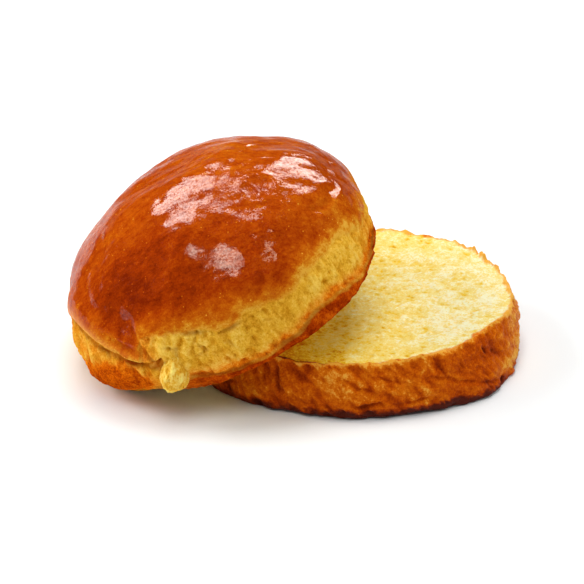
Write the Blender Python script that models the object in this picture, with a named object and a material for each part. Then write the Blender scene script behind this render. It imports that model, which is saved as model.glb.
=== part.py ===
"""A burger bun cut in two: the domed crown leans on its left edge and on the rim of the flat heel.

Metres, +Z up. The origin is on the table under the middle of the pair, +X runs from the crown to the heel,
and -Y is the side where the crown's torn flank shows.
"""

import math

import bmesh
import bpy
import numpy as np
from mathutils import Euler, Matrix, Vector

# Heel: the bottom slice. Its cut face is up.
HEEL_CENTRE = (0.0208, 0.0037)
HEEL_HEIGHT = 0.0190
HEEL_WEDGE = 0.0022  # the cut face's rise from the middle to its right edge
HEEL_DISH = 0.0007  # how far the middle of the cut face lies below its rim
HEEL_RIM_RADIUS = 0.0532
HEEL_BELLY_RADIUS = 0.0572
HEEL_BASE_RADIUS = 0.0545
HEEL_BELLY_SHARE = 0.35  # height of the widest ring over the height of the slice
HEEL_BACK_SWELL = 0.0014  # how far the rim stands out at the back
HEEL_RIM_WAVE = 0.0006
HEEL_UNEVEN = 0.0003
HEEL_PRESSED = 0.0012  # how far the crown presses the left rim down
HEEL_WRINKLE = 0.00055

# Folds pinched into the heel's side: start and end as (degrees, height), then depth and width.
HEEL_FOLDS = (
    ((239, 0.0165), (243, 0.0060), 0.0014, 0.0012),
    ((250, 0.0140), (261, 0.0075), 0.0009, 0.0012),
    ((266, 0.0130), (277, 0.0092), 0.0010, 0.0013),
    ((267, 0.0042), (279, 0.0070), 0.0014, 0.0012),
    ((303, 0.0100), (326, 0.0030), 0.0010, 0.0014),
    ((324, 0.0010), (328, 0.0035), 0.0018, 0.0014),
    ((20, 0.0140), (44, 0.0070), 0.0011, 0.0015),
    ((70, 0.0060), (102, 0.0100), 0.0011, 0.0015),
    ((128, 0.0150), (134, 0.0050), 0.0014, 0.0014),
    ((176, 0.0040), (205, 0.0090), 0.0012, 0.0015),
)

# Crown: the domed top. Its own Z axis is the dome's, and its cut face lies at its own Z = 0.
CROWN_CENTRE = (-0.0199, -0.0059, 0.0224)
CROWN_LEAN = math.radians(28.0)  # right side up
CROWN_NOD = math.radians(4.3)  # front side down
CROWN_HEIGHT = 0.0510
CROWN_WAIST_RADIUS = 0.0553
CROWN_WAIST_HEIGHT = 0.0140
CROWN_RIM_RADIUS = 0.0520
CROWN_ROUNDNESS = 1.91  # exponent of the dome's superellipse, 2 is an ellipse
CROWN_SWELL = 0.00045
CROWN_FLATTER_RIGHT = 0.0007
CROWN_FULLER_LEFT = 0.0006
CROWN_WAIST_WAVE = 0.0004
CROWN_RIM_OUT = 0.0036  # how far the knife's edge stands out at the front right
CROWN_RIM_IN = 0.0006
CROWN_RIM_WAVE = 0.00035
CROWN_TUCK_LEFT = 0.0050
CROWN_TUCK_BACK = 0.0016
CROWN_TUCK_HEIGHT = 0.0085
CROWN_FACE_STEP = 0.0006  # how far the cut crumb lies inside the crust's edge
CROWN_FACE_WAVE = 0.0003
CROWN_FACE_DISH = 0.0004

# The rounded swelling of crust low on the crown's left flank.
BULGE_ANGLE = math.radians(222)
BULGE_HEIGHT = 0.0090
BULGE_HALF_HEIGHT = 0.0052
BULGE_PROUD = 0.0016

# The torn flank lies a little inside the skin and is uneven.
TORN_DEPTH = 0.0004
TORN_ROUGHNESS = 0.00035

# Folds pinched into the crown's side: start and end as (degrees, height), then depth and width.
CROWN_FOLDS = (
    ((209, 0.0262), (214, 0.0150), 0.0010, 0.0014),
    ((241, 0.0310), (244, 0.0215), 0.0008, 0.0012),
    ((244, 0.0225), (249, 0.0160), 0.0013, 0.0013),
    ((331, 0.0278), (345, 0.0265), 0.0007, 0.0015),
    ((96, 0.0210), (150, 0.0160), 0.0016, 0.0018),
)

# The lower edge of the crown: a crease, and under it a lip of crust left by the knife.
CREASE_HEIGHT = 0.0042
CREASE_DEPTH = 0.0014
CREASE_WIDTH = 0.0011
CREASE_WAVE = 0.0011

# The egg-washed skin ends in a lip that overhangs the left flank and falls from one angle to the other.
LIP_FROM = math.radians(205.0)
LIP_TO = math.radians(250.0)
LIP_HIGH = 0.0310
LIP_LOW = 0.0189
LIP_PROUD = 0.0015
LIP_GROOVE = 0.0024
LIP_GROOVE_HEIGHT = 0.0036
LIP_STARTS = (math.radians(160.0), math.radians(190.0))
LIP_ENDS = (math.radians(246.0), math.radians(252.0))

# A nub of torn crumb that hangs on the left end of the torn flank.
NUB_ANGLE = math.radians(251.3)
NUB_HEIGHT = 0.0118
NUB_HALF_WIDTH = 0.0038
NUB_HALF_HEIGHT = 0.0054
NUB_PROUD = 0.0034

WAVE_RADIUS = 0.0500  # radius of the ring on which waves that run round an axis are read

SEGMENTS = 96
CROWN_RINGS = 40
HEEL_RINGS = 27
CROWN_SHOULDER_SHARE = 0.36  # share of the rings above the shoulder
CROWN_RIM_SHARE = 0.86  # share of the rings above the cut face
CROWN_SHOULDER_HEIGHT = 0.0310
HEEL_RIM_SHARE = 0.26
HEEL_BASE_SHARE = 0.85

CRUST_COLOUR = (0.50, 0.14, 0.02, 1.0)
HEEL_COLOUR = (0.62, 0.27, 0.05, 1.0)


def waves(points, length, seed, count=18):
    """Smooth noise of about unit size: a sum of plane waves about one length long, in seeded directions."""
    random = np.random.default_rng(seed)
    direction = random.normal(size=(count, 3))
    direction /= np.linalg.norm(direction, axis=1, keepdims=True)
    pitch = 2 * math.pi / length * random.uniform(0.6, 1.5, (count, 1))
    phase = random.uniform(0, 2 * math.pi, count)
    return np.sin(points @ (direction * pitch).T + phase).sum(axis=1) * math.sqrt(2 / count)


def bump(angle, centre, width):
    """A bell over the angle round the axis, 1 at the centre, with angles that wrap round."""
    apart = (angle - centre + math.pi) % (2 * math.pi) - math.pi
    return np.exp(-((apart / width) ** 2))


def smooth(value, low, high):
    """0 below low, 1 above high and an S curve between them."""
    share = np.clip((value - low) / (high - low), 0, 1)
    return share * share * (3 - 2 * share)


def fold(angle, height, radius, start, end, depth, width):
    """A dent along the line between two (degrees, height) points of a flank, deepest at its middle."""
    across = np.array([(math.radians(end[0]) - math.radians(start[0])) * radius, end[1] - start[1]])
    turned = (angle - math.radians(start[0]) + math.pi) % (2 * math.pi) - math.pi
    place = np.stack([turned * radius, height - start[1]], axis=1)
    along = np.clip(place @ across / (across @ across), 0, 1)
    distance = np.linalg.norm(place - along[:, None] * across, axis=1)
    return -depth * np.exp(-((distance / width) ** 2)) * np.sin(math.pi * np.clip(along, 0.08, 0.92))


def ring_points(radius, height, angle):
    return np.stack([radius * np.cos(angle), radius * np.sin(angle), height], axis=1)


def crown_waist(angle):
    """Radius of the crown at its widest ring: a little flat on the right and a little full on the left."""
    around = ring_points(WAVE_RADIUS, 0 * angle, angle)
    flat = CROWN_FLATTER_RIGHT * bump(angle, math.radians(2), 0.5)
    full = CROWN_FULLER_LEFT * bump(angle, math.radians(190), 0.4)
    return CROWN_WAIST_RADIUS - flat + full + CROWN_WAIST_WAVE * waves(around, 0.050, 3)


def crown_rim(angle):
    """Radius of the cut face: the knife's edge stands out at the front right and tucks in at the front."""
    around = ring_points(WAVE_RADIUS, 0 * angle, angle)
    out = CROWN_RIM_OUT * bump(angle, math.radians(320), 0.36) - CROWN_RIM_IN * bump(angle, math.radians(274), 0.25)
    return CROWN_RIM_RADIUS + out + CROWN_RIM_WAVE * waves(around, 0.030, 4)


def crown_tuck(angle):
    """How far the lower edge curls under, on the left where the crust of the flank is thick."""
    return CROWN_TUCK_LEFT * bump(angle, math.radians(236), 0.36) + CROWN_TUCK_BACK * bump(angle, math.radians(120), 0.6)


def lip_height(angle):
    """Height of the overhanging lip, which falls from the left flank to the nub."""
    share = smooth(angle % (2 * math.pi), LIP_FROM, LIP_TO)
    return LIP_HIGH + (LIP_LOW - LIP_HIGH) * share


def lip_strength(angle):
    turned = angle % (2 * math.pi)
    return smooth(turned, *LIP_STARTS) * (1 - smooth(turned, *LIP_ENDS))


def crown_relief(angle, height, points):
    """How far the crown's skin lies outside its plain profile: swellings, lip, groove, folds, crease and nub."""
    relief = CROWN_SWELL * waves(points, 0.030, 11) * smooth(height, 0.004, 0.020)
    under = height - lip_height(angle)
    lip = LIP_PROUD * np.exp(-(((under - 0.0015) / 0.0026) ** 2))
    groove = LIP_GROOVE * smooth(-under, -0.0004, 0.0014) * np.exp(-np.clip(-under, 0, None) / LIP_GROOVE_HEIGHT)
    relief += lip_strength(angle) * (lip - groove)
    bulge = np.exp(-(((height - BULGE_HEIGHT) / BULGE_HALF_HEIGHT) ** 2))
    relief += BULGE_PROUD * bump(angle, BULGE_ANGLE, 0.30) * bulge
    for start, end, depth, width in CROWN_FOLDS:
        relief += fold(angle, height, CROWN_WAIST_RADIUS, start, end, depth, width)
    flank = smooth(height, 0.005, 0.009) * (1 - smooth(height, 0.014, 0.020)) * (1 - lip_strength(angle))
    relief += flank * (TORN_ROUGHNESS * waves(points, 0.0080, 12) - TORN_DEPTH)
    around = ring_points(WAVE_RADIUS, 0 * angle, angle)
    crease = CREASE_HEIGHT + CREASE_WAVE * waves(around, 0.024, 5)
    shown = 1 - 0.85 * bump(angle, BULGE_ANGLE, 0.40)
    relief -= shown * CREASE_DEPTH * np.exp(-(((height - crease) / CREASE_WIDTH) ** 2))
    across = ((angle - NUB_ANGLE + math.pi) % (2 * math.pi) - math.pi) * CROWN_WAIST_RADIUS / NUB_HALF_WIDTH
    nub = np.clip(1 - across**2 - ((height - NUB_HEIGHT) / NUB_HALF_HEIGHT) ** 2, 0, None)
    return relief + NUB_PROUD * np.sqrt(nub)


def crown_surface(angle, share):
    """Points of the crown in its own frame: share runs from the top of the dome, 0, to the middle of the cut face, 1."""
    waist, rim, tuck = crown_waist(angle), crown_rim(angle), crown_tuck(angle)
    rise = CROWN_HEIGHT - CROWN_WAIST_HEIGHT
    exponent = 2 / CROWN_ROUNDNESS
    shoulder = math.asin(((CROWN_SHOULDER_HEIGHT - CROWN_WAIST_HEIGHT) / rise) ** (1 / exponent))
    upper = math.pi / 2 - (math.pi / 2 - shoulder) * np.clip(share / CROWN_SHOULDER_SHARE, 0, 1)
    fall = np.clip((share - CROWN_SHOULDER_SHARE) / (CROWN_RIM_SHARE - CROWN_SHOULDER_SHARE), 0, 1)
    dome_height = CROWN_WAIST_HEIGHT + rise * np.sin(upper) ** exponent
    height = np.where(share < CROWN_SHOULDER_SHARE, dome_height, CROWN_SHOULDER_HEIGHT * (1 - fall))
    dome = np.clip((height - CROWN_WAIST_HEIGHT) / rise, 0, 1)
    above = waist * np.clip(1 - dome**CROWN_ROUNDNESS, 0, 1) ** (1 / CROWN_ROUNDNESS)
    above = np.where(share < CROWN_SHOULDER_SHARE, waist * np.cos(upper) ** exponent, above)
    low = np.clip(height / CROWN_WAIST_HEIGHT, 0, 1)
    below = rim + (waist - rim) * np.sin(math.pi / 2 * low) - tuck * (1 - smooth(height, 0, CROWN_TUCK_HEIGHT)) ** 1.5
    radius = np.where(height > CROWN_WAIST_HEIGHT, above, below)
    points = ring_points(radius, height, angle)
    slope = np.arctan2(dome ** (CROWN_ROUNDNESS - 1) * waist, rise * (radius / waist) ** (CROWN_ROUNDNESS - 1))
    relief = crown_relief(angle, height, points)
    radius = radius + relief * np.cos(slope) * smooth(radius, 0, 0.006)
    height = height + relief * np.sin(slope)
    inward = np.clip((share - CROWN_RIM_SHARE) / (1 - CROWN_RIM_SHARE), 0, 1)
    inside = (radius - CROWN_FACE_STEP) * (1 - inward)
    face = ring_points(inside, 0 * height, angle)
    crumb = CROWN_FACE_WAVE * waves(face, 0.016, 21) + CROWN_FACE_DISH * smooth(inward, 0, 0.4)
    height = np.where(inward > 0, crumb, height)
    radius = np.where(inward > 0, inside, radius)
    return ring_points(radius, height, angle)


def heel_rim(angle):
    around = ring_points(WAVE_RADIUS, 0 * angle, angle)
    back = HEEL_BACK_SWELL * bump(angle, math.radians(75), 0.7)
    return HEEL_RIM_RADIUS + back + HEEL_RIM_WAVE * waves(around, 0.040, 31)


def heel_top(points):
    """Height of the cut face: a slight wedge and a slight dish, with the knife's unevenness."""
    across = points[:, 0] / HEEL_RIM_RADIUS
    outward = np.hypot(points[:, 0], points[:, 1]) / HEEL_RIM_RADIUS
    uneven = HEEL_UNEVEN * waves(points, 0.030, 32)
    pressed = HEEL_PRESSED * smooth(-across, 0.55, 1.0)
    return HEEL_HEIGHT + HEEL_WEDGE * across - HEEL_DISH * (1 - smooth(outward, 0.2, 1.0)) + uneven - pressed


def heel_relief(angle, height, points):
    """Wrinkles and pinched folds of the crust on the heel's side."""
    stretched = points * np.array([1, 1, 1.7])
    ridges = 1 - np.abs(waves(stretched, 0.022, 41)) - 0.4
    relief = HEEL_WRINKLE * ridges + 0.5 * HEEL_WRINKLE * waves(stretched, 0.010, 42)
    for start, end, depth, width in HEEL_FOLDS:
        relief += fold(angle, height, HEEL_BELLY_RADIUS, start, end, depth, width)
    return relief


def heel_surface(angle, share):
    """Points of the heel in its own frame: share runs from the middle of the cut face, 0, to that of the base, 1."""
    rim = heel_rim(angle)
    inner = np.clip(share / HEEL_RIM_SHARE, 0, 1)
    top = heel_top(ring_points(rim * inner, 0 * angle, angle))
    fall = np.clip((share - HEEL_RIM_SHARE) / (HEEL_BASE_SHARE - HEEL_RIM_SHARE), 0, 1)
    belly = np.where(
        fall < 1 - HEEL_BELLY_SHARE,
        rim + (HEEL_BELLY_RADIUS - rim) * np.sin(math.pi / 2 * np.clip(fall / (1 - HEEL_BELLY_SHARE), 0, 1)),
        HEEL_BASE_RADIUS
        + (HEEL_BELLY_RADIUS - HEEL_BASE_RADIUS)
        * np.sqrt(np.clip(1 - ((fall - 1 + HEEL_BELLY_SHARE) / HEEL_BELLY_SHARE) ** 2, 0, 1)),
    )
    height = top * (1 - fall)
    side = ring_points(belly, height, angle)
    free = smooth(fall, 0, 0.15) * (1 - smooth(fall, 0.93, 1.0))
    radius = belly + heel_relief(angle, height, side) * free
    under = np.clip((share - HEEL_BASE_SHARE) / (1 - HEEL_BASE_SHARE), 0, 1)
    radius = np.where(share < HEEL_RIM_SHARE, rim * inner, radius * (1 - under))
    return ring_points(radius, np.where(under > 0, 0, height), angle)


def shaped_sphere(name, rings, surface):
    """A UV sphere whose rings are carried onto the surface, pole to pole."""
    mesh = bpy.data.meshes.new(name)
    body = bmesh.new()
    bmesh.ops.create_uvsphere(body, u_segments=SEGMENTS, v_segments=rings, radius=1.0)
    body.to_mesh(mesh)
    body.free()
    unit = np.empty(len(mesh.vertices) * 3)
    mesh.vertices.foreach_get("co", unit)
    unit = unit.reshape(-1, 3)
    angle = np.arctan2(unit[:, 1], unit[:, 0])
    share = np.arccos(np.clip(unit[:, 2], -1, 1)) / math.pi
    mesh.vertices.foreach_set("co", surface(angle, share).ravel())
    mesh.update()
    mesh.shade_smooth()
    piece = bpy.data.objects.new(name, mesh)
    bpy.data.collections["burger_bun"].objects.link(piece)
    return piece


def rest_on_table(piece, matrix):
    """Flattens what would reach below the table, as the weight of the soft crown does."""
    back = matrix.inverted()
    for vertex in piece.data.vertices:
        world = matrix @ vertex.co
        if world.z < 0:
            world.z = 0
            vertex.co = back @ world


def crust_material(name, colour, roughness):
    material = bpy.data.materials.new(name)
    material.use_nodes = True
    shader = material.node_tree.nodes["Principled BSDF"]
    shader.inputs["Base Color"].default_value = colour
    shader.inputs["Roughness"].default_value = roughness
    shader.inputs["Metallic"].default_value = 0.0
    return material


def make_crown(parent):
    piece = shaped_sphere("crown", CROWN_RINGS, crown_surface)
    turn = Euler((CROWN_NOD, -CROWN_LEAN, 0), "XYZ")
    rest_on_table(piece, Matrix.LocRotScale(Vector(CROWN_CENTRE), turn, None))
    piece.location = CROWN_CENTRE
    piece.rotation_euler = turn
    piece.parent = parent
    piece.data.materials.append(crust_material("egg_washed_crust", CRUST_COLOUR, 0.35))


def make_heel(parent):
    piece = shaped_sphere("heel", HEEL_RINGS, heel_surface)
    piece.location = (HEEL_CENTRE[0], HEEL_CENTRE[1], 0)
    piece.parent = parent
    piece.data.materials.append(crust_material("heel_crust", HEEL_COLOUR, 0.55))


def main():
    for old in list(bpy.data.objects):
        bpy.data.objects.remove(old)
    collection = bpy.data.collections.new("burger_bun")
    bpy.context.scene.collection.children.link(collection)
    holder = bpy.data.objects.new("bun", None)
    collection.objects.link(holder)
    make_crown(holder)
    make_heel(holder)


main()
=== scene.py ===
"""A burger bun cut in two: the glossy crown leans on the heel, which lies with its yellow crumb up.

Metres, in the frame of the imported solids: +Z up, +X from the crown to the heel, -Y the shown side.
"""

import math

import bpy
import numpy as np
from mathutils import Euler, Matrix, Vector


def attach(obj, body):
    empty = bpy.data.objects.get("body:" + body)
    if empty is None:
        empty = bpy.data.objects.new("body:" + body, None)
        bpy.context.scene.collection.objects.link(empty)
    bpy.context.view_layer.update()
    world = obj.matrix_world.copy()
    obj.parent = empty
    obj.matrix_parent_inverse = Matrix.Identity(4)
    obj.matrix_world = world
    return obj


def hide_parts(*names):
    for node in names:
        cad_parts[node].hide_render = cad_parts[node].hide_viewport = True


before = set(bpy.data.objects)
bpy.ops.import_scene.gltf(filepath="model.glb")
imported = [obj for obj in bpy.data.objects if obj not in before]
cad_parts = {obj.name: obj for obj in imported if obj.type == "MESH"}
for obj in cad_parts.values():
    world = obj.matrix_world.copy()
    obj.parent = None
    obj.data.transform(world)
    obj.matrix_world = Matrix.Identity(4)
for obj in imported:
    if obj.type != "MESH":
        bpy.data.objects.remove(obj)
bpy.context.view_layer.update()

# The studio: a white table in a dim white room that is lighter near the horizon. Four wide screens, overhead,
# in front and at both sides, only light the bun. Five soft boxes and a low warm wall behind it only show as
# reflections on the glossy crown.

TABLE_SIZE = 8.0
TABLE_WHITE = (0.90, 0.93, 0.93, 1)
HORIZON_WHITE = 0.20
HORIZON_TOP = 0.12
CEILING_WHITE = 0.14
CEILING_START = 0.40
CREAM = (1.0, 0.93, 0.86)
PEACH = (1.0, 0.84, 0.70)
AMBER = (1.0, 0.78, 0.55)
CLAY = (1.0, 0.80, 0.62)
# Each light: name, azimuth and elevation in degrees, distance, width and height, and watts.
SCREENS = (
    ("overhead_screen", 166, 80, 3.0, (1.9, 1.9), 52.0),
    ("key_screen", -4, 60, 2.4, (1.4, 1.2), 18.0),
    ("left_screen", -98, 32, 2.4, (1.6, 1.2), 40.0),
    ("right_screen", 96, 32, 2.4, (1.6, 1.2), 13.0),
)
# Each reflected light: the same, then its roll in degrees and its tint.
REFLECTIONS = (
    ("back_left_box", -137, 44, 1.2, (0.46, 0.60), 14.0, 15, CREAM),
    ("back_right_box", 166, 37, 1.2, (0.42, 0.70), 14.0, -8, CREAM),
    ("back_high_box", -152, 66, 1.2, (0.20, 0.16), 1.6, 0, CREAM),
    ("front_left_box", -47, 57, 1.2, (0.25, 0.26), 3.6, 0, PEACH),
    ("front_right_box", 39, 67, 1.2, (0.18, 0.22), 1.5, 0, AMBER),
    ("back_wall", 180, 6, 2.5, (5.0, 0.40), 3.5, 0, CLAY),
)
CAMERA_ELEVATION = math.radians(25.64)
CAMERA_DISTANCE = 0.70
CAMERA_TARGET = Vector((-0.0015, -0.0181, 0.030))
FRAME_PIXELS = 584
FOCAL_PIXELS = 2080.6
SENSOR_WIDTH = 36.0

def colour(red, green, blue):
    """The linear colour of an sRGB colour in 0 to 255, by the sRGB curve."""
    encoded = np.array([red, green, blue]) / 255
    linear = np.where(encoded > 0.04045, ((encoded + 0.055) / 1.055) ** 2.4, encoded / 12.92)
    return (*linear.tolist(), 1.0)

def add(tree, kind, sockets, **settings):
    """A node of that kind. An input given as an output is linked to it, and any other is set to the value."""
    made = tree.nodes.new(kind)
    for name, value in settings.items():
        setattr(made, name, value)
    for key, value in sockets.items():
        if isinstance(value, bpy.types.NodeSocket):
            tree.links.new(value, made.inputs[key])
        else:
            made.inputs[key].default_value = value
    return made

def new_material(name, **sockets):
    """A material with its node tree and its Principled shader, whose inputs are set by name."""
    material = bpy.data.materials.new(name)
    material.use_nodes = True
    shader = material.node_tree.nodes["Principled BSDF"]
    for key, value in sockets.items():
        shader.inputs[key.replace("_", " ")].default_value = value
    return material, material.node_tree, shader

def place_table():
    """A wide white square at height 0, which takes the bun's shadow."""
    half = TABLE_SIZE / 2
    corners = [(-half, -half, 0), (half, -half, 0), (half, half, 0), (-half, half, 0)]
    mesh = bpy.data.meshes.new("table")
    mesh.from_pydata(corners, [], [(0, 1, 2, 3)])
    table = bpy.data.objects.new("table", mesh)
    bpy.context.scene.collection.objects.link(table)
    material, _, shader = new_material("white_table", Roughness=0.9)
    shader.inputs["Base Color"].default_value = TABLE_WHITE
    shader.inputs["Specular IOR Level"].default_value = 0.1
    mesh.materials.append(material)

def towards(azimuth, elevation):
    """The direction to a light. Azimuth 0 is the camera's side and 90 is to the right, in degrees."""
    turn, rise = math.radians(azimuth), math.radians(elevation)
    return Vector((math.sin(turn) * math.cos(rise), -math.cos(turn) * math.cos(rise), math.sin(rise)))

def soft_box(name, azimuth, elevation, distance, size, power, roll=0, tint=(1.0, 1.0, 1.0)):
    """A rectangular light aimed at the bun from that direction, rolled about its aim by some degrees."""
    light = bpy.data.lights.new(name, "AREA")
    light.shape = "RECTANGLE"
    light.size, light.size_y = size
    light.energy = power
    light.color = tint
    lamp = bpy.data.objects.new(name, light)
    lamp.location = CAMERA_TARGET + distance * towards(azimuth, elevation)
    aim = towards(azimuth, elevation).to_track_quat("Z", "Y").to_matrix()
    lamp.rotation_euler = (aim @ Matrix.Rotation(math.radians(roll), 3, "Z")).to_euler()
    bpy.context.scene.collection.objects.link(lamp)
    return lamp

def light_room():
    """The room's white, from the horizon up, then the screens, hidden from gloss, and the boxes that only
    gloss shows."""
    world = bpy.data.worlds.new("white_room")
    world.use_nodes = True
    tree = world.node_tree
    place = add(tree, "ShaderNodeTexCoord", {}).outputs["Generated"]
    rise = add(tree, "ShaderNodeSeparateXYZ", {0: place}).outputs["Z"]
    sockets = {"Value": rise, "From Min": HORIZON_TOP, "From Max": CEILING_START}
    sockets |= {"To Min": HORIZON_WHITE, "To Max": CEILING_WHITE}
    white = add(tree, "ShaderNodeMapRange", sockets, interpolation_type="SMOOTHSTEP").outputs["Result"]
    tree.links.new(white, tree.nodes["Background"].inputs["Strength"])
    tree.nodes["Background"].inputs["Color"].default_value = (1, 1, 1, 1)
    bpy.context.scene.world = world
    world.cycles_visibility.glossy = False
    for screen in SCREENS:
        soft_box(*screen).visible_glossy = False
    for box in REFLECTIONS:
        soft_box(*box).visible_diffuse = False

def place_camera():
    """The photo's camera, level with the X axis. Its lens is the focal length as a share of the frame."""
    camera = bpy.data.cameras.new("camera")
    camera.sensor_width = SENSOR_WIDTH
    camera.lens = FOCAL_PIXELS / FRAME_PIXELS * SENSOR_WIDTH
    camera.clip_start, camera.clip_end = 0.01, 20
    viewer = bpy.data.objects.new("camera", camera)
    back = Vector((0, -math.cos(CAMERA_ELEVATION), math.sin(CAMERA_ELEVATION)))
    viewer.location = CAMERA_TARGET + CAMERA_DISTANCE * back
    viewer.rotation_euler = back.to_track_quat("Z", "Y").to_euler()
    bpy.context.scene.collection.objects.link(viewer)
    bpy.context.scene.camera = viewer

place_table()
light_room()
place_camera()
bpy.context.scene.view_settings.view_transform = "Standard"

# The heel: the bottom slice, soft yellow crumb in a thin skin of baked crust. The knife left its top even and
# open-pored, the oven wrinkled its side into soft folds, and the tray browned its base. It is a closed skin
# of rings, from the middle of the cut face round to the middle of the base.

HEEL_CENTRE = np.array([0.0208, 0.0037, 0])
CROWN_CENTRE = Vector((-0.0199, -0.0059, 0.0224))
CROWN_TURN = Euler((math.radians(4.3), -math.radians(28.0), 0), "XYZ")
CROWN_RIM_RADIUS = 0.0520
HEEL_HEIGHT = 0.0190
HEEL_WEDGE = 0.0022
HEEL_DISH = 0.0007
HEEL_RIM_RADIUS = 0.0532
HEEL_BELLY_RADIUS = 0.0572
HEEL_BASE_RADIUS = 0.0549
HEEL_BELLY_SHARE = 0.35
HEEL_SEGMENTS = 560
HEEL_RINGS = (108, 54, 12)
HEEL_ENDS = (0.50, 0.86, 1.0)
HEEL_PORE_DEPTH = 0.00045
HEEL_BAKE = 0.375
HEEL_SHINE = 0.18
NOISE_GAIN = 1.7
CRUMB_STOPS = (0.0, 0.26, 0.68, 1.0)
CRUMB_SHADES = (colour(251, 244, 204), colour(246, 223, 136), colour(240, 196, 44), colour(212, 126, 10))
# Each fold of the side: the (degrees, height) of its start and end, its depth and its width.
HEEL_FOLDS = (
    ((239, 0.0165), (243, 0.0060), 0.0013, 0.0007),
    ((235, 0.0150), (237, 0.0080), 0.0006, 0.0006),
    ((250, 0.0140), (261, 0.0075), 0.0007, 0.0007),
    ((262, 0.0152), (267, 0.0128), 0.0006, 0.0006),
    ((266, 0.0130), (277, 0.0092), 0.0009, 0.0008),
    ((273, 0.0156), (286, 0.0120), 0.0009, 0.0007),
    ((267, 0.0042), (279, 0.0070), 0.0014, 0.0008),
    ((283, 0.0050), (297, 0.0070), 0.0007, 0.0007),
    ((291, 0.0140), (303, 0.0105), 0.0008, 0.0008),
    ((303, 0.0100), (312, 0.0074), 0.0009, 0.0007),
    ((311, 0.0076), (326, 0.0030), 0.0008, 0.0008),
    ((324, 0.0010), (328, 0.0035), 0.0020, 0.0010),
    ((334, 0.0110), (345, 0.0060), 0.0006, 0.0008),
    ((350, 0.0130), (2, 0.0060), 0.0008, 0.0008),
    ((8, 0.0070), (30, 0.0110), 0.0009, 0.0008),
    ((28, 0.0150), (44, 0.0070), 0.0009, 0.0008),
    ((52, 0.0040), (70, 0.0080), 0.0009, 0.0009),
    ((70, 0.0060), (102, 0.0100), 0.0010, 0.0008),
    ((104, 0.0150), (112, 0.0070), 0.0009, 0.0008),
    ((128, 0.0150), (134, 0.0050), 0.0012, 0.0008),
    ((140, 0.0060), (170, 0.0100), 0.0009, 0.0008),
    ((176, 0.0040), (205, 0.0090), 0.0010, 0.0008),
    ((200, 0.0130), (216, 0.0080), 0.0008, 0.0008),
    ((214, 0.0040), (228, 0.0070), 0.0010, 0.0008),
)

def hashed(cell, seed):
    """A number from 0 to 1 for each integer cell: its coordinates times large numbers, joined bit by bit and
    stirred by shifts and products."""
    mixed = cell[:, 0] * 73856093 ^ cell[:, 1] * 19349663 ^ cell[:, 2] * 83492791 ^ seed * 2654435761
    mixed = mixed & 0xFFFFFFFF
    mixed = (mixed ^ (mixed >> 15)) * 1103515245 & 0xFFFFFFFF
    mixed = (mixed ^ (mixed >> 13)) * 1597334677 & 0xFFFFFFFF
    return ((mixed ^ (mixed >> 16)) & 0xFFFFFF) / 0x1000000

def noise(points, size, seed, octaves=1):
    """Gradient noise of about -1 to 1: each corner of a cell pulls along its own direction, and each further
    octave is half as large and half as strong."""
    total = np.zeros(len(points))
    for octave in range(octaves):
        scaled = points / size * 2**octave
        cell = np.floor(scaled).astype(np.int64)
        inside = scaled - cell
        fade = inside**3 * (inside * (inside * 6 - 15) + 10)
        for step in np.ndindex(2, 2, 2):
            corner = np.array(step)
            pulls = [hashed(cell + corner, seed + 7 * octave + 101 * axis) for axis in range(3)]
            pull = 2 * np.stack(pulls, axis=1) - 1
            weight = np.prod(np.where(corner > 0, fade, 1 - fade), axis=1)
            total += weight * (pull * (inside - corner)).sum(axis=1) * NOISE_GAIN / 2**octave
    return total

def pits(points, size, seed):
    """Round hollows of mixed width, one in each cell at a random place: 1 at the middle and 0 outside."""
    scaled = points / size
    cell = np.floor(scaled).astype(np.int64)
    deepest = np.zeros(len(points))
    for step in np.ndindex(3, 3, 3):
        beside = cell + np.array(step) - 1
        centre = beside + np.stack([hashed(beside, seed + 13 * axis) for axis in range(3)], axis=1)
        width = 0.18 + 0.42 * hashed(beside, seed + 57) ** 2.5
        apart = np.linalg.norm(scaled - centre, axis=1) / width
        deepest = np.maximum(deepest, np.clip(1 - apart**2, 0, 1))
    return deepest

def smooth(value, low, high):
    """0 below low, 1 above high and an S curve between them."""
    share = np.clip((value - low) / (high - low), 0, 1)
    return share * share * (3 - 2 * share)

def hump(value, centre, width):
    """A bell over the value: 1 at the centre, and about a third one width away."""
    return np.exp(-(((value - centre) / width) ** 2))

def bell(angle, centre, width):
    """A bell over the angle round the axis in degrees, with angles that wrap round."""
    return hump((np.degrees(angle) - centre + 180) % 360 - 180, 0, width)

def ring_points(radius, height, angle):
    """Points from their distance to the axis, their height and their angle round it."""
    return np.stack([radius * np.cos(angle), radius * np.sin(angle), height], axis=1)

def level_ring(angle):
    """Points of a level ring 50 mm from the axis. Noise read on it runs round a piece with no seam."""
    return ring_points(0.05, 0 * angle, angle)

def fold(angle, height, radius, start, end, depth, width):
    """A dent along the line between two (degrees, height) points of a flank, deepest at its middle."""
    across = np.array([(((end[0] - start[0] + 180) % 360) - 180) * math.pi / 180 * radius, end[1] - start[1]])
    turned = (angle - math.radians(start[0]) + math.pi) % (2 * math.pi) - math.pi
    place = np.stack([turned * radius, height - start[1]], axis=1)
    along = np.clip(place @ across / (across @ across), 0, 1)
    distance = np.linalg.norm(place - along[:, None] * across, axis=1)
    return -depth * np.exp(-((distance / width) ** 2)) * np.sin(math.pi * np.clip(along, 0.08, 0.92))

def ring_shares(counts, ends):
    """The share of each ring, evenly spaced within each stretch between the given ends."""
    starts = (0, *ends[:-1])
    runs = [np.linspace(a, b, n, endpoint=False) for a, b, n in zip(starts, ends, counts)]
    return np.append(np.concatenate(runs), 1.0)

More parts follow.
